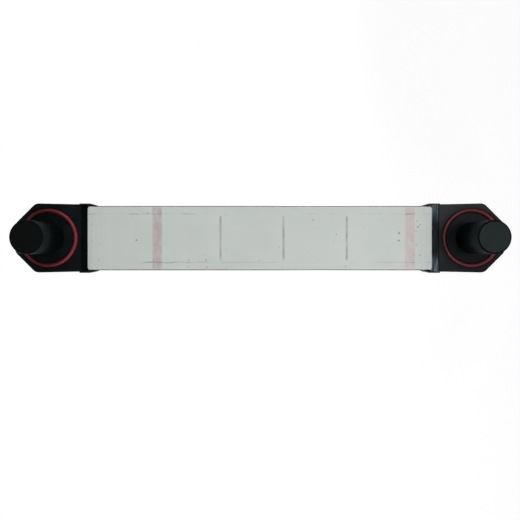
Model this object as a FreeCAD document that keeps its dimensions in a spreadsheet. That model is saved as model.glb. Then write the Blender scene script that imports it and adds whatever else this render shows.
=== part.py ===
import FreeCAD, Part
import Sketcher
import math
import os
import re

# Oil level gauge, in millimetres, seen as it hangs on a tank: X across it, Y from the tank out to the
# window, Z up. The origin lies midway between the two bolts, on the face of the tank.

# Driving dimensions
SIZES = (
    ("bolt_spacing", 200.0, "between the two bolts"),
    # End fitting
    ("fitting_width", 32.8, "across a fitting at its nose"),
    ("nose_wall", 1.7, "from the face groove to each of the nose's three faces"),
    ("nose_corner_radius", 4.0, "of the four upright corners of the nose"),
    ("inner_wall", 1.4, "from the face groove to the inner wall, at the tank"),
    ("wall_draft", 1.4, "how far the inner wall leans out by the depth of the scale plate"),
    ("neck_length", 4.8, "of the neck under the guard's end"),
    ("neck_wall", 1.3, "of the neck, beside and in front of the sight tube"),
    ("shoulder_rise", 1.1, "from the neck's front to the fitting's front"),
    ("front_rim_radius", 1.4, "round the fitting's front"),
    ("back_rim_radius", 0.5, "round the fitting's back"),
    # Sight tube and the sockets that hold it
    ("tube_width", 29.0, "across the sight tube"),
    ("tube_depth", 12.0, "of the sight tube, back to front"),
    ("tube_corner_radius", 2.7, "of the tube's two front corners"),
    ("tube_back_radius", 0.5, "of the tube's two back corners"),
    ("channel_width", 23.4, "of the oil channel in the tube"),
    ("channel_depth", 6.0, "of the oil channel, back to front"),
    ("channel_corner_radius", 2.0, "of the oil channel"),
    ("socket_clearance", 0.2, "round the tube in its socket"),
    ("tube_seal_thickness", 2.0, "of the flat seal at each end of the tube"),
    # Scale plate and its films
    ("window_recess", 6.0, "from the tank to the scale plate's back"),
    ("plate_lip", 0.7, "of the scale plate past each side of the tube"),
    ("plate_thickness", 1.2, "of the scale plate"),
    ("plate_gap", 0.2, "between the plate's shoulders or ends and the fitting"),
    ("film_thickness", 0.15, "of the mark films"),
    ("film_clearance", 0.05, "between the films and the tube"),
    ("level_mark_height", 4.3, "of the highest and the lowest mark"),
    ("level_mark_margin", 0.25, "from the ends of those two marks to the plate's sides"),
    ("line_height", 1.0, "of each thin line between them"),
    ("line_margin", 0.8, "from the ends of a thin line to the sides of the oil channel"),
    ("highest_mark_drop", 33.5, "from the window's upper end down to the highest mark"),
    ("lowest_mark_rise", 10.5, "from the window's lower end up to the lowest mark"),
    # Front guard
    ("guard_sheet", 0.8, "of the guard's sheet"),
    ("guard_gap", 0.3, "between the tube and the guard"),
    ("guard_back_gap", 0.3, "between the plate's front and the guard's flanges"),
    ("guard_end_gap", 0.3, "between the guard's end and the fitting's shoulder"),
    ("grip_gap", 0.05, "between the neck and the guard's end round it"),
    ("joggle_length", 4.2, "over which the guard widens to its end"),
    ("joggle_lead", 0.3, "from the joggle to the fitting's inner wall"),
    ("slot_width", 20.0, "of the guard's viewing slot"),
    ("slot_margin", 1.9, "from each end of the viewing slot to the guard's joggle"),
    ("slot_corner_radius", 3.0, "of the viewing slot"),
    ("lug_width", 8.0, "of the lug that holds the guard's end"),
    ("lug_length", 1.8, "of that lug, along the gauge"),
    ("lug_crest", 0.7, "of that lug's flat top, along the gauge"),
    ("lug_rise", 0.7, "of that lug over the neck"),
    ("lug_setback", 1.2, "from the neck's end to that lug"),
    ("latch_clearance", 0.3, "round the lug in its slot"),
    # Bolt, its bores and its cap
    ("bolt_diameter", 12.0, "of the bolt's shank"),
    ("bolt_clearance", 0.25, "round the shank in the fitting"),
    ("bolt_reach", 22.0, "of the thread past the tank's face"),
    ("tip_chamfer", 1.2, "of the bolt's tip"),
    ("oil_bore", 5.0, "along the bolt"),
    ("oil_bore_overrun", 4.0, "of the oil bore past the cross holes"),
    ("cross_hole", 4.0, "through the bolt, both ways"),
    ("chamber_gap", 1.8, "of the oil chamber round the shank"),
    ("chamber_length", 8.0, "of the oil chamber, along the bolt"),
    ("chamber_wall", 1.2, "from the oil chamber to the floor of the tube's socket"),
    ("passage_diameter", 6.0, "from the oil chamber to the tube"),
    ("hex_width", 18.0, "across the bolt head's flats"),
    ("head_height", 7.5, "of the bolt's head"),
    ("head_bevel", 0.45, "from the head's flats in to its round front face"),
    ("washer_clearance", 0.5, "round the shank in the washer"),
    ("washer_diameter", 24.0, "of the washer"),
    ("washer_thickness", 2.5, "of the washer"),
    ("cap_mouth_wall", 1.3, "of the thread cap at its mouth"),
    ("cap_tip_wall", 1.3, "of the thread cap's side at its tip"),
    ("cap_tip_radius", 0.9, "round the thread cap's tip"),
    ("cap_tip_gap", 3.0, "from the bolt's tip to the cap's closed end"),
    ("cap_end_wall", 1.6, "of the thread cap's closed end"),
    ("cap_thread_gap", 0.1, "between the thread and the cap"),
    ("cap_seat_gap", 0.1, "between the cap's mouth and the fitting"),
    # Round seals
    ("face_seal_bore", 24.0, "of the seal against the tank"),
    ("face_seal_section", 1.9, "of the seal against the tank"),
    ("face_groove_depth", 1.3, "of the groove that holds it"),
    ("head_seal_clearance", 0.2, "round the shank in the seal under the washer"),
    ("head_seal_section", 2.2, "of the seal under the washer"),
    ("seal_side_gap", 0.3, "beside a round seal in its groove"),
    ("head_seal_gap", 0.1, "between the washer and the seal under it"),
)
SIZE_NAMES = {name for name, size, meaning in SIZES}

# Places along Y, from the tank towards the window
PLATE_FRONT = "(window_recess + plate_thickness)"
TUBE_BACK = f"({PLATE_FRONT} + film_thickness + film_clearance)"
TUBE_MIDDLE = f"({TUBE_BACK} + tube_depth / 2)"
TUBE_FRONT = f"({TUBE_BACK} + tube_depth)"
SOCKET_BACK = "(window_recess - socket_clearance)"
SOCKET_FRONT = f"({TUBE_FRONT} + socket_clearance)"
NECK_FRONT = f"({SOCKET_FRONT} + neck_wall)"
FITTING_FRONT = f"({NECK_FRONT} + shoulder_rise)"
HEAD_SEAT = f"({FITTING_FRONT} + washer_thickness)"
FLANGE_BACK = f"({PLATE_FRONT} + guard_back_gap)"

# Half widths along X
PLATE_SIDE = "(tube_width / 2 + plate_lip)"
SOCKET_SIDE = "(tube_width / 2 + socket_clearance)"
NECK_SIDE = f"({SOCKET_SIDE} + neck_wall)"
NOSE_SIDE = "(fitting_width / 2)"

# Radii round a bolt's axis
BORE_RADIUS = "(bolt_diameter / 2 + bolt_clearance)"
CHAMBER_RADIUS = "(bolt_diameter / 2 + chamber_gap)"
CAP_BORE_RADIUS = "(bolt_diameter / 2 + cap_thread_gap)"
FACE_GROOVE_RADIUS = "(face_seal_bore / 2 + face_seal_section + seal_side_gap)"
HEAD_SEAL_BORE = "(bolt_diameter + 2 * head_seal_clearance)"
HEAD_GROOVE_RADIUS = f"({HEAD_SEAL_BORE} / 2 + head_seal_section + seal_side_gap)"

# Distances from a bolt's axis along the gauge
NOSE_REACH = f"({FACE_GROOVE_RADIUS} + nose_wall)"
WALL_HEAD = f"({FACE_GROOVE_RADIUS} + inner_wall)"
WALL_FOOT = f"({WALL_HEAD} + wall_draft)"
SHOULDER = f"({WALL_FOOT} - neck_length)"
SOCKET_FLOOR = f"({CHAMBER_RADIUS} + chamber_wall)"

# Distances from the gauge's middle towards either end
WINDOW_END = f"(bolt_spacing / 2 - {WALL_FOOT})"
SOCKET_END = f"(bolt_spacing / 2 - {SOCKET_FLOOR})"
TUBE_END = f"({SOCKET_END} - tube_seal_thickness)"
GUARD_END = f"(bolt_spacing / 2 - {SHOULDER} - guard_end_gap)"
JOGGLE_END = f"({WINDOW_END} - joggle_lead)"
JOGGLE_START = f"({JOGGLE_END} - joggle_length)"
SLOT_END = f"({JOGGLE_START} - slot_margin)"

# The guard's inside, along the tube and round the neck
GUARD_SIDE = "(tube_width / 2 + guard_gap)"
GUARD_FRONT = f"({TUBE_FRONT} + guard_gap)"
GUARD_BEND = "(tube_corner_radius + guard_gap)"
GRIP_SIDE = f"({NECK_SIDE} + grip_gap)"
GRIP_FRONT = f"({NECK_FRONT} + grip_gap)"
GRIP_BEND = f"({GUARD_BEND} + {GRIP_SIDE} - {GUARD_SIDE})"
NECK_BEND = f"({GRIP_BEND} - grip_gap)"

ENDS = {"upper": 1, "lower": -1}
STEPS_BETWEEN_MARKS = 4
JOGGLE_STEPS = 4
HEAD_BEVEL_ANGLE = 30
DRILL_POINT_ANGLE = 118
CLEAR_OF = 2.0  # how far a cut reaches past the surface that it opens

doc = FreeCAD.newDocument("OilLevelGauge")
sheet = doc.addObject("Spreadsheet::Sheet", "Dimensions")
for row, (alias, size, meaning) in enumerate(SIZES, 1):
    sheet.set(f"A{row}", alias)
    sheet.set(f"B{row}", str(size))
    sheet.setAlias(f"B{row}", alias)
    sheet.set(f"C{row}", meaning)
doc.recompute()


def linked(formula):
    """The same formula, with each size's name written as a reference to the sheet."""
    return re.sub(
        r"[a-z_]+",
        lambda word: f"Dimensions.{word.group()}" if word.group() in SIZE_NAMES else word.group(),
        formula,
    )


def amount(formula):
    """What a formula of the sheet comes to, in millimetres."""
    return float(sheet.evalExpression(linked(formula)))


# Sketches
def new_body(label):
    body = doc.addObject("PartDesign::Body", label)
    body.Label = label
    return body


def new_sketch(body, name, plane, offset="0"):
    """A sketch on one of the body's own origin planes, moved along the plane's normal by the offset."""
    sketch = body.newObject("Sketcher::SketchObject", name)
    support = next(f for f in body.Origin.OriginFeatures if f.Role == plane)
    sketch.AttachmentSupport = [(support, "")]
    sketch.MapMode = "FlatFace"
    sketch.setExpression("AttachmentOffset.Base.z", linked(offset))
    return sketch


def hold(sketch, geometry, point, kind, formula):
    """Holds one coordinate of a point, from the sketch's origin, at a formula of the sheet."""
    distance = amount(formula)
    if abs(distance) < 1e-9:
        axis = -2 if kind == "DistanceX" else -1
        sketch.addConstraint(Sketcher.Constraint("PointOnObject", geometry, point, axis))
        return
    ends = (-1, 1, geometry, point) if distance > 0 else (geometry, point, -1, 1)
    index = sketch.addConstraint(Sketcher.Constraint(kind, *ends, abs(distance)))
    sketch.setExpression(f"Constraints[{index}]", linked(formula if distance > 0 else f"-({formula})"))


def outline(sketch, corners):
    """A closed outline through (across, up) corners. A corner with a third entry, (across, up), starts an
    arc about that centre to the next corner."""
    first = sketch.GeometryCount
    places = [FreeCAD.Vector(amount(c[0]), amount(c[1]), 0) for c in corners]
    for index, corner in enumerate(corners):
        start, end = places[index], places[(index + 1) % len(corners)]
        edge = Part.LineSegment(start, end)
        if len(corner) > 2:
            centre = FreeCAD.Vector(amount(corner[2][0]), amount(corner[2][1]), 0)
            middle = (start + end) / 2 - centre
            edge = Part.Arc(start, centre + middle.normalize() * (start - centre).Length, end)
        sketch.addGeometry(edge, False)
    turned = {
        first + index
        for index in range(len(corners))
        if (sketch.getPoint(first + index, 1) - places[index]).Length > 1e-6
    }
    for index, corner in enumerate(corners):
        this, following = first + index, first + (index + 1) % len(corners)
        this_end = 1 if this in turned else 2
        this_start = 3 - this_end
        following_start = 2 if following in turned else 1
        sketch.addConstraint(Sketcher.Constraint("Coincident", this, this_end, following, following_start))
        hold(sketch, this, this_start, "DistanceX", corner[0])
        hold(sketch, this, this_start, "DistanceY", corner[1])
        if len(corner) > 2:
            hold(sketch, this, 3, "DistanceX", corner[2][0])


def rectangle(sketch, left, right, low, high):
    outline(sketch, [(left, low), (right, low), (right, high), (left, high)])


def soft_rectangle(sketch, side, low, high, low_bend, high_bend):
    """A rectangle about the sketch's upright axis, its corners rounded. A low bend of None is sharp."""
    corners = [(f"-{side}", low), (side, low)]
    if low_bend:
        turn = f"({side} - {low_bend})"
        rise = f"({low} + {low_bend})"
        corners = [
            (f"-{side}", rise, (f"-{turn}", rise)),
            (f"-{turn}", low),
            (turn, low, (turn, rise)),
            (side, rise),
        ]
    turn = f"({side} - {high_bend})"
    fall = f"({high} - {high_bend})"
    corners += [
        (side, fall, (turn, fall)),
        (turn, high),
        (f"-{turn}", high, (f"-{turn}", fall)),
        (f"-{side}", fall),
    ]
    outline(sketch, corners)


def circle(sketch, radius, across="0", up="0"):
    """A circle about the sketch's origin, or about a place across or up from it."""
    centre = FreeCAD.Vector(amount(across), amount(up), 0)
    index = sketch.addGeometry(Part.Circle(centre, FreeCAD.Vector(0, 0, 1), amount(radius)), False)
    hold(sketch, index, 3, "DistanceX", across)
    hold(sketch, index, 3, "DistanceY", up)
    bound = sketch.addConstraint(Sketcher.Constraint("Radius", index, amount(radius)))
    sketch.setExpression(f"Constraints[{bound}]", linked(radius))


# Features
def pad(body, sketch, name, length, turned=False, both_ways=False):
    """Adds the sketch's area along its normal, against it where turned, or half each way."""
    feature = body.newObject("PartDesign::Pad", name)
    feature.Profile = sketch
    feature.setExpression("Length", linked(length))
    feature.Reversed = turned
    feature.Midplane = both_ways
    doc.recompute()
    return feature


def checked_cut(body, feature, before):
    doc.recompute()
    if not 0 < body.Shape.Volume < before - 1e-6:
        raise RuntimeError(f"{feature.Name} of {body.Label} takes nothing away")
    return feature


def pocket(body, sketch, name, length=None, turned=False, both_ways=False):
    """Cuts the sketch's area against its normal, along it where turned, or half each way."""
    before = body.Shape.Volume
    feature = body.newObject("PartDesign::Pocket", name)
    feature.Profile = sketch
    if length is None:
        feature.Type = "ThroughAll"
    else:
        feature.setExpression("Length", linked(length))
    feature.Reversed = turned
    feature.Midplane = both_ways
    return checked_cut(body, feature, before)


def turned_profile(body, sketch, name, kind):
    """Turns a sketch on the YZ plane about the bolt's axis, as a Revolution or a Groove."""
    before = body.Shape.Volume if kind == "Groove" else 0
    feature = body.newObject(f"PartDesign::{kind}", name)
    feature.Profile = sketch
    feature.ReferenceAxis = (sketch, ["H_Axis"])
    feature.Angle = 360
    if kind == "Groove":
        return checked_cut(body, feature, before)
    doc.recompute()
    return feature


def rounded(body, name, radius, picked, kind="Fillet"):
    """Rounds or bevels each edge of the body so far that the test picks."""
    base = body.Tip
    names = [f"Edge{i}" for i, edge in enumerate(base.Shape.Edges, 1) if picked(edge)]
    if not names:
        raise RuntimeError(f"{name} of {body.Label} finds no edge")
    feature = body.newObject(f"PartDesign::{kind}", name)
    feature.Base = (base, names)
    feature.setExpression("Radius" if kind == "Fillet" else "Size", linked(radius))
    doc.recompute()
    return feature


def runs_along(edge, axis):
    """Whether the edge is straight and lies along the X, Y or Z axis."""
    if not isinstance(edge.Curve, (Part.Line, Part.LineSegment)):
        return False
    return abs(edge.tangentAt(edge.FirstParameter)["XYZ".index(axis)]) > 0.9999


def lies_at(edge, axis, place):
    """Whether both ends and the middle of the edge lie at one place along an axis."""
    index = "XYZ".index(axis)
    middle = edge.valueAt((edge.FirstParameter + edge.LastParameter) / 2)
    points = [vertex.Point for vertex in edge.Vertexes] + [middle]
    return all(abs(point[index] - place) < 1e-4 for point in points)


def at_end(piece, side, depth="0"):
    """Moves a piece that was made round the origin to one of the two bolts."""
    upright = FreeCAD.Rotation(FreeCAD.Vector(0, 1, 0), 0 if side > 0 else 180)
    piece.Placement = FreeCAD.Placement(FreeCAD.Vector(), upright.multiply(piece.Placement.Rotation))
    piece.setExpression("Placement.Base.y", linked(depth))
    piece.setExpression("Placement.Base.z", linked(f"{side} * bolt_spacing / 2"))


# End fitting
def end_fitting(label, side):
    """A moulded end: an eight-sided head round the bolt, with a neck and a socket for the sight tube."""
    body = new_body(label)
    head = new_sketch(body, "HeadOutline", "XZ_Plane")
    slope_foot = f"(sqrt(2) * {NOSE_REACH} - {NOSE_SIDE})"
    tip_side = f"((sqrt(2) - 1) * {NOSE_REACH})"
    outline(
        head,
        [
            (f"-{NECK_SIDE}", f"-{SHOULDER}"),
            (NECK_SIDE, f"-{SHOULDER}"),
            (NOSE_SIDE, slope_foot),
            (tip_side, NOSE_REACH),
            (f"-{tip_side}", NOSE_REACH),
            (f"-{NOSE_SIDE}", slope_foot),
        ],
    )
    pad(body, head, "Head", FITTING_FRONT, turned=True)
    rounded(
        body,
        "NoseCorners",
        "nose_corner_radius",
        lambda edge: runs_along(edge, "Y") and edge.CenterOfMass.z > 0,
    )
    rounded(body, "FrontRim", "front_rim_radius", lambda edge: lies_at(edge, "Y", amount(FITTING_FRONT)))

    neck = new_sketch(body, "NeckProfile", "XY_Plane", f"-{WALL_FOOT}")
    soft_rectangle(neck, NECK_SIDE, "0", NECK_FRONT, None, NECK_BEND)
    pad(body, neck, "Neck", "neck_length")

    draft = new_sketch(body, "InnerWallDraft", "YZ_Plane")
    outline(draft, [("0", f"-{WALL_HEAD}"), ("window_recess", f"-{WALL_FOOT}"), ("0", f"-{WALL_FOOT}")])
    pocket(body, draft, "InnerWall", f"2 * {NECK_SIDE} + {CLEAR_OF}", both_ways=True)
    rounded(body, "BackRim", "back_rim_radius", lambda edge: lies_at(edge, "Y", 0))

    socket = new_sketch(body, "SocketProfile", "XY_Plane", f"-{WALL_FOOT}")
    soft_rectangle(
        socket,
        SOCKET_SIDE,
        SOCKET_BACK,
        SOCKET_FRONT,
        "tube_back_radius",
        "(tube_corner_radius + socket_clearance)",
    )
    pocket(body, socket, "TubeSocket", f"{WALL_FOOT} - {SOCKET_FLOOR}", turned=True)

    bores = new_sketch(body, "BoltBores", "YZ_Plane")
    chamber_back = f"({TUBE_MIDDLE} - chamber_length / 2)"
    chamber_front = f"({TUBE_MIDDLE} + chamber_length / 2)"
    head_groove_floor = f"({FITTING_FRONT} - head_seal_section - head_seal_gap)"
    outline(
        bores,
        [
            (f"-{CLEAR_OF}", "0"),
            (f"-{CLEAR_OF}", BORE_RADIUS),
            (chamber_back, BORE_RADIUS),
            (chamber_back, CHAMBER_RADIUS),
            (chamber_front, CHAMBER_RADIUS),
            (chamber_front, BORE_RADIUS),
            (head_groove_floor, BORE_RADIUS),
            (head_groove_floor, HEAD_GROOVE_RADIUS),
            (f"{FITTING_FRONT} + {CLEAR_OF}", HEAD_GROOVE_RADIUS),
            (f"{FITTING_FRONT} + {CLEAR_OF}", "0"),
        ],
    )
    turned_profile(body, bores, "BoltBore", "Groove")

    passage = new_sketch(body, "PassageOutline", "XY_Plane")
    circle(passage, "passage_diameter / 2", up=TUBE_MIDDLE)
    pocket(body, passage, "OilPassage", f"{SOCKET_FLOOR} + tube_seal_thickness")

    groove = new_sketch(body, "FaceGrooveOutline", "XZ_Plane")
    circle(groove, FACE_GROOVE_RADIUS)
    circle(groove, "face_seal_bore / 2 - seal_side_gap")
    pocket(body, groove, "FaceGroove", "face_groove_depth")

    lug = new_sketch(body, "LugProfile", "YZ_Plane")
    lug_foot = f"(-{WALL_FOOT} + lug_setback)"
    lug_root = f"({NECK_FRONT} - neck_wall / 2)"
    outline(
        lug,
        [
            (lug_root, lug_foot),
            (NECK_FRONT, lug_foot),
            (f"{NECK_FRONT} + lug_rise", f"{lug_foot} + lug_length - lug_crest"),
            (f"{NECK_FRONT} + lug_rise", f"{lug_foot} + lug_length"),
            (lug_root, f"{lug_foot} + lug_length"),
        ],
    )
    pad(body, lug, "GuardLug", "lug_width", both_ways=True)
    at_end(body, side)
    return body


# Sight tube, its end seals and the scale plate
def tube_section(sketch):
    """The tube's outside, across X and from back to front."""
    soft_rectangle(
        sketch, "(tube_width / 2)", TUBE_BACK, TUBE_FRONT, "tube_back_radius", "tube_corner_radius"
    )


def cut_channel(body, start):
    """Cuts the oil channel right through a piece, from a place past its lower end."""
    sketch = new_sketch(body, "ChannelProfile", "XY_Plane", start)
    soft_rectangle(
        sketch,
        "(channel_width / 2)",
        f"({TUBE_MIDDLE} - channel_depth / 2)",
        f"({TUBE_MIDDLE} + channel_depth / 2)",
        "channel_corner_radius",
        "channel_corner_radius",
    )
    pocket(body, sketch, "Channel", turned=True)


def sight_tube():
    body = new_body("sight_tube")
    section = new_sketch(body, "TubeSection", "XY_Plane")
    tube_section(section)
    pad(body, section, "Tube", f"2 * {TUBE_END}", both_ways=True)
    cut_channel(body, f"-{TUBE_END} - {CLEAR_OF}")
    return body


def tube_seal(label, side):
    """A flat seal between the tube's end and the floor of its socket."""
    body = new_body(label)
    tube_side = f"-{SOCKET_FLOOR} - tube_seal_thickness"
    section = new_sketch(body, "SealSection", "XY_Plane", tube_side)
    tube_section(section)
    pad(body, section, "Seal", "tube_seal_thickness")
    cut_channel(body, f"{tube_side} - {CLEAR_OF}")
    at_end(body, side)
    return body


def scale_plate():
    """The white plate behind the tube, with a narrower tail in each socket."""
    body = new_body("scale_plate")
    sketch = new_sketch(body, "PlateOutline", "XZ_Plane", "-window_recess")
    narrow = "(tube_width / 2)"
    shoulder = f"({WINDOW_END} - plate_gap)"
    tail = f"({SOCKET_END} - plate_gap)"
    outline(
        sketch,
        [
            (PLATE_SIDE, f"-{shoulder}"),
            (PLATE_SIDE, shoulder),
            (narrow, shoulder),
            (narrow, tail),
            (f"-{narrow}", tail),
            (f"-{narrow}", shoulder),
            (f"-{PLATE_SIDE}", shoulder),
            (f"-{PLATE_SIDE}", f"-{shoulder}"),
            (f"-{narrow}", f"-{shoulder}"),
            (f"-{narrow}", f"-{tail}"),
            (narrow, f"-{tail}"),
            (narrow, f"-{shoulder}"),
        ],
    )
    pad(body, sketch, "Plate", "plate_thickness", turned=True)
    return body


def mark_film(name, height, side, level):
    """A strip of film on the front of the scale plate, as wide on one side of the middle as on the other."""
    film = doc.addObject("Part::Box", name)
    film.setExpression("Length", linked(f"2 * {side}"))
    film.setExpression("Width", linked("film_thickness"))
    film.setExpression("Height", linked(height))
    film.setExpression("Placement.Base.x", linked(f"-{side}"))
    film.setExpression("Placement.Base.y", linked(PLATE_FRONT))
    film.setExpression("Placement.Base.z", linked(f"{level} - {height} / 2"))
    return film


def level_marks():
    """The highest and the lowest mark, and the thin lines evenly between them as one set."""
    mark_side = f"({PLATE_SIDE} - level_mark_margin)"
    line_side = "(channel_width / 2 - line_margin)"
    top = f"({WINDOW_END} - highest_mark_drop)"
    bottom = f"(-{WINDOW_END} + lowest_mark_rise)"
    highest = mark_film("max_level_mark", "level_mark_height", mark_side, top)
    lowest = mark_film("min_level_mark", "level_mark_height", mark_side, bottom)
    lines = []
    for count in range(1, STEPS_BETWEEN_MARKS):
        level = f"({top} - ({top} - {bottom}) * {count} / {STEPS_BETWEEN_MARKS})"
        lines.append(mark_film(f"Line{count}", "line_height", line_side, level))
    graduation = doc.addObject("Part::Compound", "graduation_lines")
    graduation.Links = lines
    return [highest, lowest, graduation]


# Front guard
def guard_section(body, name, side_gap, front, bend, height):
    """The guard's channel section at one height, open towards the tank, as inside sizes and a bend."""
    sketch = new_sketch(body, name, "XY_Plane", height)
    outer, inner = f"({side_gap} + guard_sheet)", side_gap
    bend_x, bend_y = f"({side_gap} - {bend})", f"({front} - {bend})"
    left, right = (f"-{bend_x}", bend_y), (bend_x, bend_y)
    outline(
        sketch,
        [
            (f"-{outer}", FLANGE_BACK),
            (f"-{outer}", bend_y, left),
            (f"-{bend_x}", f"{front} + guard_sheet"),
            (bend_x, f"{front} + guard_sheet", right),
            (outer, bend_y),
            (outer, FLANGE_BACK),
            (inner, FLANGE_BACK),
            (inner, bend_y, right),
            (bend_x, front),
            (f"-{bend_x}", front, left),
            (f"-{inner}", bend_y),
            (f"-{inner}", FLANGE_BACK),
        ],
    )
    return sketch


def guard_section_between(body, name, share, height):
    """The guard's section where it has widened by a share of the way from the tube to the neck."""
    side_gap, front, bend = (
        f"({start} + ({end} - {start}) * {share:.4f})"
        for start, end in (
            (GUARD_SIDE, GRIP_SIDE),
            (GUARD_FRONT, GRIP_FRONT),
            (GUARD_BEND, GRIP_BEND),
        )
    )
    return guard_section(body, name, side_gap, front, bend, height)


def front_guard():
    """A pressed sheet channel with a viewing slot. Each end widens over a joggle and grips a neck."""
    body = new_body("front_guard")
    middle = guard_section_between(body, "MiddleSection", 0, "0")
    pad(body, middle, "Middle", f"2 * {JOGGLE_START}", both_ways=True)
    for end, side in ENDS.items():
        sections = []
        for step in range(JOGGLE_STEPS + 1):
            along = step / JOGGLE_STEPS
            widened = (1 - math.cos(math.pi * along)) / 2
            height = f"{side} * ({JOGGLE_START} + joggle_length * {along:.4f})"
            sections.append(guard_section_between(body, f"{end}Joggle{step}", widened, height))
        joggle = body.newObject("PartDesign::AdditiveLoft", f"{end}Joggle")
        joggle.Profile = sections[0]
        joggle.Sections = sections[1:]
        grip = guard_section_between(body, f"{end}GripSection", 1, f"{side} * {JOGGLE_END}")
        pad(body, grip, f"{end}Grip", f"{GUARD_END} - {JOGGLE_END}", turned=side < 0)

    slot = new_sketch(body, "SlotOutline", "XZ_Plane", f"-{GUARD_FRONT} + guard_gap")
    rectangle(slot, "-slot_width / 2", "slot_width / 2", f"-{SLOT_END}", SLOT_END)
    pocket(body, slot, "ViewingSlot", f"guard_gap + guard_sheet + {CLEAR_OF}")
    rounded(
        body,
        "SlotCorners",
        "slot_corner_radius",
        lambda edge: runs_along(edge, "Y")
        and abs(abs(edge.CenterOfMass.x) - amount("slot_width / 2")) < 1e-4
        and abs(abs(edge.CenterOfMass.z) - amount(SLOT_END)) < 1e-4,
    )

    latch = new_sketch(body, "LatchOutline", "XZ_Plane", f"-{NECK_FRONT}")
    latch_side = "(lug_width / 2 + latch_clearance)"
    latch_start = f"({WINDOW_END} + lug_setback - latch_clearance)"
    latch_end = f"({WINDOW_END} + lug_setback + lug_length + latch_clearance)"
    rectangle(latch, f"-{latch_side}", latch_side, latch_start, latch_end)
    rectangle(latch, f"-{latch_side}", latch_side, f"-{latch_end}", f"-{latch_start}")
    pocket(body, latch, "LatchSlots", f"grip_gap + guard_sheet + {CLEAR_OF}")
    return body


# Bolt, washer, cap and round seals
def hollow_bolt(label, side):
    """A hexagon bolt whose oil bore opens at its tip and at two cross holes inside the fitting."""
    body = new_body(label)
    head = new_sketch(body, "HeadOutline", "XZ_Plane", f"-{HEAD_SEAT}")
    corner, half = "(hex_width / sqrt(3))", "(hex_width / 2)"
    outline(
        head,
        [
            ("0", corner),
            (f"-{half}", f"{corner} / 2"),
            (f"-{half}", f"-{corner} / 2"),
            ("0", f"-{corner}"),
            (half, f"-{corner} / 2"),
            (half, f"{corner} / 2"),
        ],
    )
    pad(body, head, "Head", "head_height", turned=True)

    bevel = new_sketch(body, "HeadBevelProfile", "YZ_Plane")
    top, past = f"({HEAD_SEAT} + head_height)", f"({corner} + {CLEAR_OF})"
    face = f"({half} - head_bevel)"
    slope = math.tan(math.radians(HEAD_BEVEL_ANGLE))
    outline(
        bevel,
        [
            (top, face),
            (f"{top} - ({past} - {face}) * {slope:.6f}", past),
            (f"{top} + {CLEAR_OF}", past),
            (f"{top} + {CLEAR_OF}", face),
        ],
    )
    turned_profile(body, bevel, "HeadBevel", "Groove")

    shank = new_sketch(body, "ShankProfile", "YZ_Plane")
    outline(
        shank,
        [
            ("-bolt_reach", "0"),
            ("-bolt_reach", "bolt_diameter / 2 - tip_chamfer"),
            ("-bolt_reach + tip_chamfer", "bolt_diameter / 2"),
            (f"{HEAD_SEAT} + head_height / 2", "bolt_diameter / 2"),
            (f"{HEAD_SEAT} + head_height / 2", "0"),
        ],
    )
    turned_profile(body, shank, "Shank", "Revolution")

    bore = new_sketch(body, "OilBoreProfile", "YZ_Plane")
    floor = f"({TUBE_MIDDLE} + oil_bore_overrun)"
    cone = f"(oil_bore / 2 / {math.tan(math.radians(DRILL_POINT_ANGLE / 2)):.6f})"
    outline(
        bore,
        [
            (f"-bolt_reach - {CLEAR_OF}", "0"),
            (f"-bolt_reach - {CLEAR_OF}", "oil_bore / 2"),
            (floor, "oil_bore / 2"),
            (f"{floor} + {cone}", "0"),
        ],
    )
    turned_profile(body, bore, "OilBore", "Groove")

    along = new_sketch(body, "CrossHoleAlongOutline", "XY_Plane")
    circle(along, "cross_hole / 2", up=TUBE_MIDDLE)
    pocket(body, along, "CrossHoleAlong", f"bolt_diameter + {CLEAR_OF}", both_ways=True)
    across = new_sketch(body, "CrossHoleAcrossOutline", "YZ_Plane")
    circle(across, "cross_hole / 2", across=TUBE_MIDDLE)
    pocket(body, across, "CrossHoleAcross", f"bolt_diameter + {CLEAR_OF}", both_ways=True)
    at_end(body, side)
    return body


def washer(label, side):
    body = new_body(label)
    sketch = new_sketch(body, "WasherOutline", "XZ_Plane", f"-{FITTING_FRONT}")
    circle(sketch, "washer_diameter / 2")
    circle(sketch, "bolt_diameter / 2 + washer_clearance")
    pad(body, sketch, "Washer", "washer_thickness", turned=True)
    at_end(body, side)
    return body


def thread_cap(label, side):
    """A sleeve with a closed, rounded tip, pushed over the bolt's thread."""
    body = new_body(label)
    profile = new_sketch(body, "CapProfile", "YZ_Plane")
    mouth, bore_end = "-cap_seat_gap", "(-bolt_reach - cap_tip_gap)"
    tip = f"({bore_end} - cap_end_wall)"
    tip_radius = f"({CAP_BORE_RADIUS} + cap_tip_wall)"
    outline(
        profile,
        [
            (mouth, CAP_BORE_RADIUS),
            (mouth, f"{CAP_BORE_RADIUS} + cap_mouth_wall"),
            (tip, tip_radius),
            (tip, "0"),
            (bore_end, "0"),
            (bore_end, CAP_BORE_RADIUS),
        ],
    )
    turned_profile(body, profile, "Sleeve", "Revolution")
    rounded(
        body,
        "TipRim",
        "cap_tip_radius",
        lambda edge: lies_at(edge, "Y", amount(tip)) and edge.Length > amount(tip_radius),
    )
    at_end(body, side)
    return body


def ring_seal(label, side, bore, section, depth):
    """A round seal about the bolt's axis, with its middle at a depth from the tank."""
    ring = doc.addObject("Part::Torus", label)
    ring.Label = label
    ring.setExpression("Radius1", linked(f"({bore} + {section}) / 2"))
    ring.setExpression("Radius2", linked(f"{section} / 2"))
    ring.Placement = FreeCAD.Placement(
        FreeCAD.Vector(), FreeCAD.Rotation(FreeCAD.Vector(1, 0, 0), 90)
    )
    at_end(ring, side, depth)
    return ring


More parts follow.
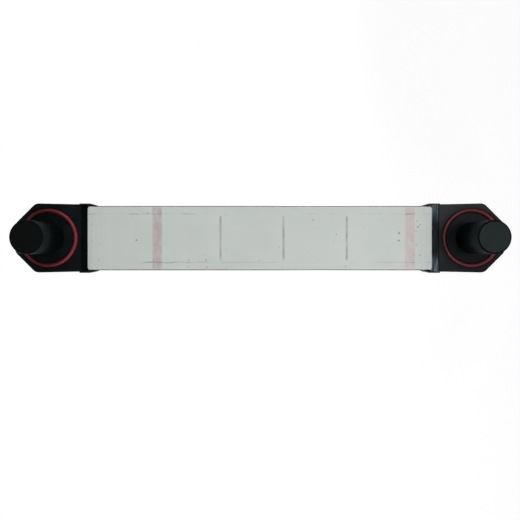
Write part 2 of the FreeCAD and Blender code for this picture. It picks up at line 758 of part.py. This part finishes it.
# The assembly
pieces = [sight_tube(), scale_plate(), *level_marks(), front_guard()]
for end, side in ENDS.items():
    pieces += [
        end_fitting(f"{end}_end_fitting", side),
        tube_seal(f"{end}_tube_seal", side),
        ring_seal(
            f"{end}_face_seal",
            side,
            "face_seal_bore",
            "face_seal_section",
            "face_groove_depth - face_seal_section / 2",
        ),
        ring_seal(
            f"{end}_head_seal",
            side,
            HEAD_SEAL_BORE,
            "head_seal_section",
            f"{FITTING_FRONT} - head_seal_gap - head_seal_section / 2",
        ),
        washer(f"{end}_washer", side),
        hollow_bolt(f"{end}_bolt", side),
        thread_cap(f"{end}_thread_cap", side),
    ]
doc.recompute()

for item in doc.Objects:
    if "Invalid" in item.State or "Error" in item.State:
        raise RuntimeError(f"{item.Label} did not compute: {item.State}")
for piece in pieces:
    if piece.Shape.isNull() or not piece.Shape.isValid():
        raise RuntimeError(f"{piece.Label} has no sound shape")

os.makedirs("parts", exist_ok=True)
for piece in pieces:
    piece.Shape.exportStep(f"parts/{piece.Label}.step")
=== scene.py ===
import bpy
from mathutils import Matrix, Vector


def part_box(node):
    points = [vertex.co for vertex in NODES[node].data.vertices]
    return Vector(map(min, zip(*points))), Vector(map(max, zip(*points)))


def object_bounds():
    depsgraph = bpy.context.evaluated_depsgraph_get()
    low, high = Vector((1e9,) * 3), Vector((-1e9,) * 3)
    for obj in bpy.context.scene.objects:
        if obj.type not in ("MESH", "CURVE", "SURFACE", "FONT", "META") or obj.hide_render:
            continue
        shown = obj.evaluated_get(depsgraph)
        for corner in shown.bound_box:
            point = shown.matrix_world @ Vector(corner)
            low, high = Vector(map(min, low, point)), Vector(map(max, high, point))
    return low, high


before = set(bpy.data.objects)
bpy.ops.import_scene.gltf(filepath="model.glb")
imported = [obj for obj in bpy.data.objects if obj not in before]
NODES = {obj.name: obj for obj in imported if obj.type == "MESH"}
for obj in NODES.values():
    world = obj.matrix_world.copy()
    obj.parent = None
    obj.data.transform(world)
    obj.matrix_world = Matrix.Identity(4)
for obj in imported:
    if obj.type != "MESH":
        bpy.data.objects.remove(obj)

# Looks of the oil level gauge: a finish for each CAD node, a floor, a soft studio and the photo's camera.
# In the frame, +Z runs up along the gauge, +Y out of its window and +X across it. The photo looks along
# +Y at the gauge's back, with +Z to the left and +X up. Lengths are in metres, and colours are linear.

cad_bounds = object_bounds()
MM = 0.001

# Camera. Pixels are those of the 520 x 520 picture. The principal point is straight ahead of the camera
IMAGE_SIDE = 520
FOCAL_PIXELS = 573.5
PRINCIPAL_POINT = (255.0, 246.4)
SENSOR_WIDTH = 36.0
CAMERA_PLACE = (-4.0 * MM, -271.0 * MM, 2.3 * MM)
CLIP_START = 0.01

# Floor. It lies a drop under the gauge, and glows for the camera: less near the middle, more far off
FLOOR_DROP = 20.0 * MM
FLOOR_SIZE = 6.0
FLOOR_DARK = (0.55, 0.55, 0.55)
FLOOR_LIGHT = (0.58, 0.58, 0.58)
GLOW_SPAN = (0.25, 1.6)
GLOW_LEVELS = (0.62, 0.90)

# World: plain soft light, which fades to dark towards a direction behind the camera and a little up in Z
WHITE = (1.0, 1.0, 1.0, 1.0)
DARK_DIRECTION = (0.0, -0.92, 0.39)
FADE_COSINES = (0.25, 0.75)
FADE_LEVELS = (0.44, 0.005)

# Lamps
WARM_LIGHT = (1.0, 0.99, 0.97)
COOL_LIGHT = (0.97, 0.985, 1.0)
PLAIN_LIGHT = (1.0, 1.0, 1.0)
SIDE_LAMP = {"aim": (0, 0, -0.04), "size": (0.25, 0.25), "watts": 3.85, "color": COOL_LIGHT}

# Colours of the finishes
NYLON_DARK = (0.0020, 0.0034, 0.0039)
NYLON_LIGHT = (0.0038, 0.0062, 0.0069)
CAP_DARK = (0.0006, 0.0019, 0.0022)
CAP_LIGHT = (0.0014, 0.0037, 0.0041)
CAP_TIP_UPPER_PAINTED_REFLECTION = (0.0036, 0.0044, 0.0042)
CAP_TIP_LOWER_PAINTED_REFLECTION = (0.0016, 0.0066, 0.0078)
CAP_PAINTED_SHEEN = (0.078, 0.105, 0.112)
PAINTED_STREAK_HIGHLIGHT = (0.242, 0.289, 0.330)
DUST = (0.10, 0.105, 0.10)
RED_PAINTED_SHADE = (0.052, 0.0036, 0.0062)
RED_PAINTED_LIT = (0.160, 0.0118, 0.0198)
RUBBER_DARK = (0.010, 0.010, 0.010)
RUBBER_LIGHT = (0.020, 0.020, 0.020)
GUARD_DARK = (0.0035, 0.0038, 0.0039)
GUARD_LIGHT = (0.0070, 0.0076, 0.0078)
BARE_EDGE = (0.16, 0.16, 0.155)
ZINC_DARK = (0.40, 0.40, 0.395)
ZINC_LIGHT = (0.50, 0.495, 0.48)
ZINC_STAIN = (0.24, 0.235, 0.225)
TUBE_DARK = (0.95, 0.975, 0.965)
TUBE_LIGHT = (0.97, 0.985, 0.975)
FILM_DARK = (0.42, 0.022, 0.020)
FILM_LIGHT = (0.525, 0.0275, 0.025)
PLATE_SHADE = (0.608, 0.642, 0.607)
PLATE_WHITE = (0.648, 0.680, 0.641)
BLACK = (0.0, 0.0, 0.0)
SMUDGE_WARM = (0.640, 0.560, 0.500)
SMUDGE_COOL = (0.470, 0.580, 0.560)
SCUFF = (0.180, 0.180, 0.175)
MAX_MARK_THROUGH = (0.440, 0.365, 0.358)
MIN_MARK_THROUGH = (0.610, 0.515, 0.502)
LINE_THROUGH = (0.360, 0.350, 0.340)

# Marks that show through the plate. Its thickness blurs their edges and spreads the bars a little
BAR_SPREAD = 0.15 * MM
BAR_BLUR = 0.40 * MM
BAR_END_BLUR = 1.2 * MM
BAR_STRENGTH = 0.85
LINE_INSET = 0.4 * MM
LINE_BLUR = 0.25 * MM
LINE_END_BLUR = 0.8 * MM
LINE_STRENGTH = 0.95

# Broken dark lines over the two sides of the tube's channel
CHANNEL_SIDE = 11.7 * MM
CHANNEL_LINE_WANDER = 1.6 * MM
CHANNEL_LINE_HALF_WIDTH = 0.22 * MM
CHANNEL_LINE_BLUR = 0.30 * MM
CHANNEL_LINE_STRENGTH = 0.75

# Leaning wall of an end fitting. It is taken as the leaning faces within this reach of its foot
WALL_REACH = 2.7 * MM
WALL_BLUR = 0.2 * MM

# Spans in Z, along the gauge. The plate's ends are a span in distance from the gauge's middle
BOLT_HEIGHT = sum(corner.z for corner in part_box("upper_bolt")) / 2
LOWER_TO_UPPER_BOLT = (-BOLT_HEIGHT, BOLT_HEIGHT)
PLATE_UPPER_PART = (-65.0 * MM, -15.0 * MM)
PLATE_UPPER_HALF = (10.0 * MM, 50.0 * MM)
PLATE_TOP = (40.0 * MM, 70.0 * MM)
PLATE_WHOLE = (-60.0 * MM, 60.0 * MM)
PLATE_ENDS = (66.0 * MM, 84.0 * MM)

# Other spans: in X, in distance from the middle plane, in Y, and in distance from a bolt's axis
BACK_SIDE_TO_SIDE = (-14.0 * MM, 14.0 * MM)
WALL_SIDES = (6.0 * MM, 13.0 * MM)
CAP_TOWARDS_TIP = (-14.0 * MM, -22.0 * MM)
SEAL_OUTWARDS = (12.0 * MM, 18.0 * MM)

# Cosines between a normal and an axis: where a face starts to count as facing it, and where it fully does
PLATE_BACK = (0.55, 0.85)
LEANING_WALL = (0.03, 0.2)
UPWARD_WALL = (0.7, 0.9)
FLAT_BACK = (0.90, 0.99)
FLAT_TIP = (0.985, 0.998)
TIP_ROUND = (0.3, 0.9)

# Cosines between a normal and the same normal bevelled: on an open face, and along a sharp edge
OPEN_TO_SHARP = (0.999, 0.55)

# Ranges of a noise: most of its values lie in the middle range, and nearly all of them in the wide one
MIDDLE = (0.35, 0.65)
WIDE = (0.3, 0.7)

# Sockets of a Mix node by number, because their names are the same for numbers and for colours
MIX_NUMBERS = (2, 3)
MIX_COLORS = (6, 7)
MIX_NUMBER_OUT = 0
MIX_COLOR_OUT = 2

# Optics: refractive indices, and the share of a full shadow that the tube casts
GLOSS_INDEX = 1.42
TUBE_INDEX = 1.49
TUBE_SHADOW = 0.12


class Tree:
    """A node tree under construction. Each call adds nodes and returns an output."""

    def __init__(self, tree):
        self.nodes, self.links = tree.nodes, tree.links

    def add(self, kind, **settings):
        node = self.nodes.new("ShaderNode" + kind)
        for name, value in settings.items():
            setattr(node, name, value)
        return node

    def feed(self, socket, value):
        """Links an output to a socket, or writes a plain value in it."""
        if isinstance(value, bpy.types.NodeSocket):
            self.links.new(value, socket)
        else:
            socket.default_value = value

    def math(self, operation, first, second=0.0, clamp=False):
        node = self.add("Math", operation=operation, use_clamp=clamp)
        self.feed(node.inputs[0], first)
        self.feed(node.inputs[1], second)
        return node.outputs[0]

    def vector_math(self, operation, output, *values):
        node = self.add("VectorMath", operation=operation)
        for socket, value in zip(node.inputs, values):
            self.feed(socket, value)
        return node.outputs[output]

    def product(self, first, *others):
        for other in others:
            first = self.math("MULTIPLY", first, other)
        return first

    def ramp(self, value, span, levels=(0.0, 1.0), smooth=False):
        """The first level where the value is at the span's start, the second where it is at its end."""
        node = self.add("MapRange", interpolation_type="SMOOTHSTEP" if smooth else "LINEAR")
        names = ("Value", "From Min", "From Max", "To Min", "To Max")
        for name, number in zip(names, (value, *span, *levels)):
            self.feed(node.inputs[name], number)
        return node.outputs["Result"]

    def band(self, value, centre, half_width, blur):
        """1 within half_width of a centre, with blurred edges."""
        distance = self.math("ABSOLUTE", self.math("SUBTRACT", value, centre))
        return self.ramp(distance, (half_width + blur, half_width - blur), smooth=True)

    def blend(self, factor, first, second):
        """A number between two others."""
        node = self.add("Mix", data_type="FLOAT")
        self.feed(node.inputs["Factor"], factor)
        for place, value in zip(MIX_NUMBERS, (first, second)):
            self.feed(node.inputs[place], value)
        return node.outputs[MIX_NUMBER_OUT]

    def mix(self, factor, first, second):
        """A colour between two others."""
        node = self.add("Mix", data_type="RGBA")
        self.feed(node.inputs["Factor"], factor)
        for place, value in zip(MIX_COLORS, (first, second)):
            linked = isinstance(value, bpy.types.NodeSocket)
            self.feed(node.inputs[place], value if linked else (*value, 1.0))
        return node.outputs[MIX_COLOR_OUT]


class Finish(Tree):
    """A material under construction. The sizes that its calls take are in millimetres."""

    def __init__(self, name, sockets):
        self.material = bpy.data.materials.new(name)
        self.material.use_nodes = True
        super().__init__(self.material.node_tree)
        self.shader = self.nodes["Principled BSDF"]
        for socket, value in sockets.items():
            self.shader.inputs[socket].default_value = value
        self.place = self.add("TexCoord").outputs["Object"]
        self.normal = self.add("NewGeometry").outputs["Normal"]
        self.x, self.y, self.z = self.parts(self.place)

    def parts(self, vector):
        node = self.add("SeparateXYZ")
        self.feed(node.inputs[0], vector)
        return list(node.outputs)

    def noise(self, size, detail=3.0, roughness=0.5, stretch=(1, 1, 1)):
        """Smooth noise with features of a size, made longer by a stretch along each axis."""
        mapping = self.add("Mapping")
        self.feed(mapping.inputs["Vector"], self.place)
        mapping.inputs["Scale"].default_value = [1 / factor for factor in stretch]
        node = self.add("TexNoise")
        self.feed(node.inputs["Vector"], mapping.outputs[0])
        node.inputs["Scale"].default_value = 1 / (size * MM)
        node.inputs["Detail"].default_value = detail
        node.inputs["Roughness"].default_value = roughness
        return node.outputs["Fac"]

    def tones(self, noise, dark, light, span=MIDDLE):
        """A colour that drifts between two tones as a noise does."""
        return self.mix(self.ramp(noise, span), dark, light)

    def vary(self, noise, low, high):
        """A number that drifts between two values as a noise does."""
        return self.ramp(noise, WIDE, (low, high))

    def dots(self, spacing, radius, share):
        """Ragged dots of uneven strength, scattered in a share of the cells that lie a spacing apart."""
        bump_size = 1.4 * radius
        bump_reach = 2.2 * radius
        ragged = self.add("TexNoise")
        self.feed(ragged.inputs["Vector"], self.place)
        ragged.inputs["Scale"].default_value = 1 / (bump_size * MM)
        reach = [bump_reach * MM] * 3
        shifted = self.vector_math("MULTIPLY_ADD", "Vector", ragged.outputs["Color"], reach, self.place)
        cells = self.add("TexVoronoi")
        self.feed(cells.inputs["Vector"], shifted)
        cells.inputs["Scale"].default_value = 1 / (spacing * MM)
        edge = radius / spacing
        inside = self.ramp(cells.outputs["Distance"], (edge, edge / 2))
        chance = self.parts(cells.outputs["Color"])[0]
        return self.product(inside, self.ramp(chance, (1.0 - share, 1.0 - 0.3 * share)))

    def dusted(self, color, size, least, strength, where=1.0):
        """The colour with grains of dust, which lie where a noise of their size passes a least value."""
        grains = self.ramp(self.noise(size, detail=1.0), (least, least + 0.08))
        return self.mix(self.product(grains, where, strength), color, DUST)

    def facing(self, axis, sign, cosines):
        """1 on faces that look along an axis, 0 on the rest."""
        along = self.parts(self.normal)["XYZ".index(axis)]
        return self.ramp(self.product(along, sign), cosines)

    def bolt_radius(self):
        """Distance from the nearer bolt's axis."""
        height = self.math("SUBTRACT", self.math("ABSOLUTE", self.z), BOLT_HEIGHT)
        square = self.math("ADD", self.product(self.x, self.x), self.product(height, height))
        return self.math("SQRT", square)

    def edges(self, radius):
        """1 along sharp edges, 0 on open faces."""
        bevel = self.add("Bevel", samples=4)
        bevel.inputs["Radius"].default_value = radius * MM
        match = self.vector_math("DOT_PRODUCT", "Value", bevel.outputs[0], self.normal)
        return self.ramp(match, OPEN_TO_SHARP)

    def coat(self, weight, roughness):
        """A gloss over the base, as strong as the weight."""
        self.feed(self.shader.inputs["Coat Weight"], weight)
        self.shader.inputs["Coat IOR"].default_value = GLOSS_INDEX
        self.shader.inputs["Coat Roughness"].default_value = roughness

    def finish(self, color, roughness, relief=None, depth=0.0, strength=1.0):
        """Feeds the shader, with a relief of a depth if one is given, and returns the material."""
        self.feed(self.shader.inputs["Base Color"], color)
        self.feed(self.shader.inputs["Roughness"], roughness)
        if relief is not None:
            bump = self.add("Bump")
            self.feed(bump.inputs["Height"], relief)
            bump.inputs["Distance"].default_value = depth * MM
            bump.inputs["Strength"].default_value = strength
            self.feed(self.shader.inputs["Normal"], bump.outputs[0])
        return self.material


def dress(material, *names):
    """Gives CAD nodes a material."""
    for name in names:
        mesh = NODES[name].data
        if not mesh.materials:
            mesh.materials.append(material)
        for slot in NODES[name].material_slots:
            slot.material = material


def both_ends(name):
    return f"upper_{name}", f"lower_{name}"


def inner_wall(look):
    """1 on an end fitting's leaning wall, which stands by the scale plate's end, and 0 elsewhere."""
    leaning = look.ramp(look.math("ABSOLUTE", look.parts(look.normal)[2]), LEANING_WALL)
    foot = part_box("upper_end_fitting")[0].z
    near = look.band(look.math("ABSOLUTE", look.z), foot, WALL_REACH, WALL_BLUR)
    return look.product(leaning, near)


def back_gloss(look):
    """Gloss of an end fitting: more on its back face, less inside the face seal, and less towards -X,
    above all on the lower fitting."""
    gloss = look.blend(look.facing("Y", -1.0, FLAT_BACK), 0.20, 0.67)
    dull_side = look.ramp(look.z, LOWER_TO_UPPER_BOLT, (0.54, 1.05))
    across = look.ramp(look.x, BACK_SIDE_TO_SIDE, (dull_side, 1.15))
    round_bolt = look.ramp(look.bolt_radius(), SEAL_OUTWARDS, (0.50, 1.10), smooth=True)
    return look.product(gloss, across, round_bolt)


def black_nylon():
    """Moulded nylon: fine spark-eroded grain, dust in it, and edges rubbed a little brighter. The lower
    fitting's inner wall, which looks up, is painted with pale streaky highlights across it."""
    look = Finish("black_nylon", {"IOR": 1.05})
    clouds = look.noise(9.0, detail=4.0)
    grain = look.noise(0.35, detail=4.0, roughness=0.65)
    scuffs = look.noise(2.2, detail=6.0, roughness=0.7, stretch=(1, 1, 6))
    worn = look.product(look.edges(0.35), look.ramp(scuffs, (0.42, 0.62)))
    color = look.tones(clouds, NYLON_DARK, NYLON_LIGHT)
    color = look.mix(look.product(worn, 0.25), color, DUST)
    color = look.dusted(color, 0.55, least=0.70, strength=0.16, where=look.ramp(clouds, (0.45, 0.65)))

    wall = inner_wall(look)
    # Painted highlight: pale streaky bands on the lower fitting's upward inner wall stand in for
    # reflections.
    highlight_streaks = look.ramp(look.noise(0.55, stretch=(12, 1, 1)), (0.32, 0.66))
    highlight_streaks = look.product(highlight_streaks, wall, look.facing("Z", 1.0, UPWARD_WALL))
    at_sides = look.ramp(look.math("ABSOLUTE", look.x), WALL_SIDES, (0.12, 1.0), smooth=True)
    color = look.mix(look.product(highlight_streaks, at_sides), color, PAINTED_STREAK_HIGHLIGHT)

    scuffed = look.ramp(scuffs, (0.5, 0.7), (0.0, 0.08))
    roughness = look.math("ADD", look.vary(clouds, 0.22, 0.30), scuffed)
    roughness = look.math("MAXIMUM", roughness, look.product(wall, 0.95))
    look.coat(look.blend(wall, back_gloss(look), look.product(highlight_streaks, 0.15)), roughness=0.26)
    return look.finish(color, roughness, grain, depth=0.02, strength=0.5)


def cap_plastic():
    """Pushed-on caps: soft plastic, a little blotchy, glossy on the tip, with painted sheen and
    reflection.
    The side is painted paler towards the tip, and each tip's colour is painted for what it reflects.
    """
    look = Finish("black_cap", {"IOR": 1.07})
    clouds = look.noise(6.0, detail=4.0)
    fine = look.noise(0.8, detail=5.0, roughness=0.6)
    color = look.dusted(look.tones(clouds, CAP_DARK, CAP_LIGHT), 0.6, least=0.72, strength=0.12)

    # Painted sheen: the cap's side is painted paler towards the tip, away from the recess that shades its
    # foot.
    sheen_towards_tip = look.ramp(look.y, CAP_TOWARDS_TIP, (0.0, 0.14), smooth=True)
    off_tip = look.math("SUBTRACT", 1.0, look.facing("Y", -1.0, TIP_ROUND))
    color = look.mix(look.product(sheen_towards_tip, off_tip), color, CAP_PAINTED_SHEEN)

    tip = look.facing("Y", -1.0, FLAT_TIP)
    # Painted reflection: each tip gets its own tint, lighter and teal on the lower cap and darker on the
    # upper one.
    tip_painted_reflection = look.mix(look.ramp(look.z, LOWER_TO_UPPER_BOLT), CAP_TIP_LOWER_PAINTED_REFLECTION, CAP_TIP_UPPER_PAINTED_REFLECTION)
    color = look.mix(tip, color, tip_painted_reflection)
    patches = look.ramp(look.noise(11.0, detail=2.0), MIDDLE, (0.48, 0.66))
    look.coat(look.product(tip, patches), roughness=0.24)
    roughness = look.math("SUBTRACT", look.vary(clouds, 0.45, 0.55), look.product(tip, 0.25))
    return look.finish(color, roughness, fine, depth=0.02, strength=0.4)


def red_rubber():
    """Face seals: red rubber with painted shade, darker towards the top of each ring."""
    look = Finish("red_rubber", {"IOR": 1.36})
    clouds = look.noise(4.0, detail=4.0)
    fine = look.noise(0.4)
    low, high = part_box("upper_face_seal")
    radius = (high.z - low.z) / 2
    # Painted shade: each ring's colour is darker towards its top, as if lit from below.
    height = look.math("SUBTRACT", look.z, look.product(look.math("SIGN", look.z), BOLT_HEIGHT))
    downwards = look.ramp(height, (radius, -radius))
    lit_share = look.math("ADD", downwards, look.vary(clouds, -0.12, 0.12), clamp=True)
    color = look.mix(lit_share, RED_PAINTED_SHADE, RED_PAINTED_LIT)
    color = look.dusted(color, 0.5, least=0.68, strength=0.2)
    return look.finish(color, look.vary(fine, 0.34, 0.48), fine, depth=0.03, strength=0.5)


def black_rubber():
    """Seals inside the gauge: dull, a little blotchy and finely pitted."""
    look = Finish("black_rubber", {"Specular IOR Level": 0.35})
    clouds = look.noise(3.0, detail=4.0)
    color = look.tones(clouds, RUBBER_DARK, RUBBER_LIGHT)
    return look.finish(color, look.vary(clouds, 0.55, 0.7), look.noise(0.4), depth=0.03, strength=0.5)


def guard_coat():
    """Black powder coat: orange peel, and bare metal at rubbed edges."""
    look = Finish("guard_black", {"IOR": 1.35})
    clouds = look.noise(14.0, detail=4.0)
    peel = look.noise(0.7, detail=2.0, roughness=0.4)
    scratches = look.noise(1.3, detail=5.0, roughness=0.75, stretch=(1, 1, 12))
    worn = look.product(look.edges(0.25), look.ramp(scratches, (0.46, 0.66)))
    color = look.tones(clouds, GUARD_DARK, GUARD_LIGHT)
    color = look.mix(look.product(worn, 0.35), color, BARE_EDGE)
    return look.finish(color, look.vary(clouds, 0.38, 0.5), peel, depth=0.04, strength=0.5)


def plated_steel():
    """Zinc plate: faintly cloudy and stained, with the turning marks of the steel showing through."""
    look = Finish("plated_steel", {"Metallic": 1.0})
    clouds = look.noise(5.0)
    turned = look.add("TexNoise", noise_dimensions="1D")
    look.feed(turned.inputs["W"], look.bolt_radius())
    turned.inputs["Scale"].default_value = 1 / (0.5 * MM)
    turned.inputs["Detail"].default_value = 3.0
    stains = look.ramp(look.noise(1.4, detail=5.0, roughness=0.7), (0.60, 0.75), (0.0, 0.25))
    color = look.mix(stains, look.tones(clouds, ZINC_DARK, ZINC_LIGHT), ZINC_STAIN)
    roughness = look.math("ADD", look.vary(clouds, 0.24, 0.32), look.product(stains, 0.4))
    return look.finish(color, roughness, turned.outputs["Fac"], depth=0.015, strength=0.6)


def clear_tube():
    """Clear plastic with fine scratches along it. Its shadow is weak, so that light reaches the plate."""
    look = Finish("clear_tube", {"Transmission Weight": 1.0, "IOR": TUBE_INDEX})
    haze = look.noise(12.0)
    scratches = look.noise(0.6, detail=4.0, roughness=0.7, stretch=(1, 1, 20))
    shadow = look.add("LightPath").outputs["Is Shadow Ray"]
    look.feed(look.shader.inputs["Alpha"], look.ramp(shadow, (0.0, 1.0), (1.0, TUBE_SHADOW)))
    color = look.tones(haze, TUBE_DARK, TUBE_LIGHT)
    scratched = look.ramp(scratches, (0.6, 0.75), (0.0, 0.10))
    roughness = look.math("ADD", look.ramp(haze, MIDDLE, (0.02, 0.05)), scratched)
    return look.finish(color, roughness, scratches, depth=0.01, strength=0.3)


def red_film():
    """Printed marks on the plate's front, with a fine grain."""
    look = Finish("red_film", {"Specular IOR Level": 0.4})
    grain = look.noise(0.3, detail=2.0)
    return look.finish(look.tones(grain, FILM_DARK, FILM_LIGHT, WIDE), look.vary(grain, 0.35, 0.45))


def plate_ground(look):
    """The plate's white, with painted shade that greys it towards its upper end, and a little smudged."""
    color = look.tones(look.noise(22.0), PLATE_SHADE, PLATE_WHITE)
    # Painted shade: the plate darkens towards its upper end, and a little more near its top.
    painted_shade_upper_part = look.ramp(look.z, PLATE_UPPER_PART, (0.0, 0.09), smooth=True)
    top = look.ramp(look.z, PLATE_TOP, (0.0, 0.025), smooth=True)
    color = look.mix(look.math("ADD", painted_shade_upper_part, top), color, BLACK)
    smudges = look.noise(7.0, detail=5.0, roughness=0.65, stretch=(1, 1, 1.6))
    color = look.mix(look.ramp(smudges, (0.50, 0.72), (0.0, 0.12)), color, SMUDGE_WARM)
    return look.mix(look.ramp(smudges, (0.48, 0.30), (0.0, 0.14)), color, SMUDGE_COOL)


def line_spans():
    """Lowest and highest point of each thin line, from the node that holds them all."""
    heights = sorted({round(v.co.z, 6) for v in NODES["graduation_lines"].data.vertices})
    return zip(heights[::2], heights[1::2])


def marks_through(look, color, back):
    """The colour with the films of the plate's front showing on its back, and where their bars are."""
    uneven = look.noise(3.2, detail=5.0, roughness=0.7, stretch=(2, 1, 1))
    uneven = look.ramp(uneven, (0.36, 0.56), (0.35, 1.0))
    bars = []
    for node, tone in (("max_level_mark", MAX_MARK_THROUGH), ("min_level_mark", MIN_MARK_THROUGH)):
        low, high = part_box(node)
        bar = look.band(look.z, (low.z + high.z) / 2, (high.z - low.z) / 2 + BAR_SPREAD, BAR_BLUR)
        reach = look.band(look.x, 0.0, high.x, BAR_END_BLUR)
        bar = look.product(bar, reach, back, uneven, BAR_STRENGTH)
        color = look.mix(bar, color, tone)
        bars.append(bar)
    half_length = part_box("graduation_lines")[1].x - LINE_INSET
    reach = look.band(look.x, 0.0, half_length, LINE_END_BLUR)
    for bottom, top in line_spans():
        line = look.band(look.z, (bottom + top) / 2, (top - bottom) / 2, LINE_BLUR)
        line = look.product(line, back, reach, uneven, LINE_STRENGTH)
        color = look.mix(line, color, LINE_THROUGH)
    return color, look.math("ADD", *bars)


def channel_lines(look, color, back, bars):
    """Broken dark lines over the sides of the tube's channel, mostly in the upper half and on the bars.
    """
    wander = look.product(look.math("SUBTRACT", look.noise(6.0, detail=4.0), 0.5), CHANNEL_LINE_WANDER)
    across = look.math("ADD", look.math("ABSOLUTE", look.x), wander)
    channel_line = look.band(across, CHANNEL_SIDE, CHANNEL_LINE_HALF_WIDTH, CHANNEL_LINE_BLUR)
    broken = look.ramp(look.noise(4.0, detail=6.0, roughness=0.75, stretch=(1, 1, 4)), (0.46, 0.58))
    upper_half = look.ramp(look.z, PLATE_UPPER_HALF, (0.35, 1.0), smooth=True)
    shown = look.math("MAXIMUM", look.product(broken, upper_half), bars)
    return look.mix(look.product(channel_line, back, shown, CHANNEL_LINE_STRENGTH), color, SCUFF)


def handling_marks(look, color):
    """Fine scratches across the plate's ends, and specks: few on the plate, more at its lower end."""
    ends = look.ramp(look.math("ABSOLUTE", look.z), PLATE_ENDS, smooth=True)
    scratches = look.ramp(look.noise(0.8, detail=4.0, roughness=0.7, stretch=(14, 1, 1)), (0.45, 0.70))
    color = look.mix(look.product(scratches, ends, 0.16), color, SCUFF)
    patches = look.ramp(look.noise(16.0, detail=1.0), (0.46, 0.58), (0.12, 0.9))
    specks = look.product(look.dots(spacing=3.2, radius=0.60, share=0.45), patches)
    lower_end = look.ramp(look.z, PLATE_WHOLE, (0.85, 0.35))
    end_specks = look.product(look.dots(spacing=2.4, radius=0.60, share=0.6), ends, lower_end)
    return look.mix(look.math("MAXIMUM", specks, end_specks), color, SCUFF)


def white_plate():
    """White plate behind the tube, with marks showing through its back and the wear of handling."""
    look = Finish("white_plate", {"Specular IOR Level": 0.3})
    back = look.facing("Y", -1.0, PLATE_BACK)
    color, bars = marks_through(look, plate_ground(look), back)
    color = channel_lines(look, color, back, bars)
    color = handling_marks(look, color)
    fibre = look.noise(0.7, detail=5.0, roughness=0.6, stretch=(1, 1, 3))
    return look.finish(color, look.vary(fibre, 0.42, 0.55), fibre, depth=0.02, strength=0.3)


def floor_material():
    """Pale floor that reads as white to the camera, in reflections and through the tube, and that keeps
    the gauge's shadow."""
    look = Finish("floor", {"Specular IOR Level": 0.0, "Emission Color": WHITE})
    path = look.add("LightPath").outputs
    seen = look.math("MAXIMUM", path["Is Camera Ray"], path["Is Glossy Ray"])
    seen = look.math("MAXIMUM", seen, path["Is Transmission Ray"])
    distance = look.vector_math("LENGTH", "Value", look.place)
    glow = look.ramp(distance, GLOW_SPAN, GLOW_LEVELS, smooth=True)
    look.feed(look.shader.inputs["Emission Strength"], look.product(seen, glow))
    return look.finish(look.tones(look.noise(3.0), FLOOR_DARK, FLOOR_LIGHT, WIDE), 0.9)


def build_floor():
    height = cad_bounds[0][2] - FLOOR_DROP
    bpy.ops.mesh.primitive_plane_add(size=FLOOR_SIZE, location=(0, 0, height))
    floor = bpy.context.object
    floor.name = "floor"
    floor.data.materials.append(floor_material())


def build_world():
    """White to the camera and through the tube. The gauge itself gets a plain soft light, with a dark
    part that keeps the black faces black in the photo's view."""
    world = bpy.data.worlds.new("studio")
    bpy.context.scene.world = world
    world.use_nodes = True
    tree = Tree(world.node_tree)
    direction = tree.add("TexCoord").outputs["Generated"]
    cosine = tree.vector_math("DOT_PRODUCT", "Value", direction, DARK_DIRECTION)
    strength = tree.ramp(cosine, FADE_COSINES, FADE_LEVELS, smooth=True)
    path = tree.add("LightPath").outputs
    strength = tree.blend(path["Is Transmission Ray"], strength, 1.0)
    strength = tree.blend(path["Is Camera Ray"], strength, 1.0)
    background = tree.nodes["Background"]
    background.inputs["Color"].default_value = WHITE
    tree.feed(background.inputs["Strength"], strength)


def add_lamp(name, place, aim, size, watts, color):
    data = bpy.data.lights.new(name, "AREA")
    data.shape = "RECTANGLE"
    data.size, data.size_y = size
    data.energy = watts
    data.color = color
    lamp = bpy.data.objects.new(name, data)
    lamp.location = place
    lamp.rotation_euler = (Vector(aim) - Vector(place)).to_track_quat("-Z", "Y").to_euler()
    bpy.context.scene.collection.objects.link(lamp)


def build_lamps():
    """A weak key from above, a low strip, one lamp at each side for the plate, and one for the front."""
    add_lamp("key", (-0.12, -0.62, 1.05), aim=(0, 0, 0), size=(0.6, 0.6), watts=0.6, color=WARM_LIGHT)
    add_lamp("low", (0.0, -0.80, -0.07), aim=(0, 0, -0.05), size=(0.5, 0.1), watts=1.1, color=COOL_LIGHT)
    add_lamp("side_right", (0.55, -1.02, 0.05), **SIDE_LAMP)
    add_lamp("side_left", (-0.55, -1.02, 0.05), **SIDE_LAMP)
    add_lamp("front", (-0.5, 0.9, 0.8), aim=(0, 0, 0), size=(0.6, 0.6), watts=7.0, color=PLAIN_LIGHT)


def build_camera():
    """The photo's camera. It looks along +Y, with +X up."""
    data = bpy.data.cameras.new("camera")
    data.sensor_width = SENSOR_WIDTH
    data.lens = SENSOR_WIDTH * FOCAL_PIXELS / IMAGE_SIDE
    data.shift_x = 0.5 - PRINCIPAL_POINT[0] / IMAGE_SIDE
    data.shift_y = PRINCIPAL_POINT[1] / IMAGE_SIDE - 0.5
    data.clip_start = CLIP_START
    camera = bpy.data.objects.new("camera", data)
    right, up, back = Vector((0, 0, -1)), Vector((1, 0, 0)), Vector((0, -1, 0))
    turned = Matrix((right, up, back)).transposed().to_4x4()
    camera.matrix_world = Matrix.Translation(CAMERA_PLACE) @ turned
    bpy.context.scene.collection.objects.link(camera)
    bpy.context.scene.camera = camera


dress(black_nylon(), *both_ends("end_fitting"))
dress(cap_plastic(), *both_ends("thread_cap"))
dress(red_rubber(), *both_ends("face_seal"))
dress(black_rubber(), *both_ends("head_seal"), *both_ends("tube_seal"))
dress(plated_steel(), *both_ends("bolt"), *both_ends("washer"))
dress(guard_coat(), "front_guard")
dress(clear_tube(), "sight_tube")
dress(white_plate(), "scale_plate")
dress(red_film(), "max_level_mark", "min_level_mark", "graduation_lines")

build_floor()
build_world()
build_lamps()
build_camera()
bpy.context.scene.view_settings.view_transform = "Standard"
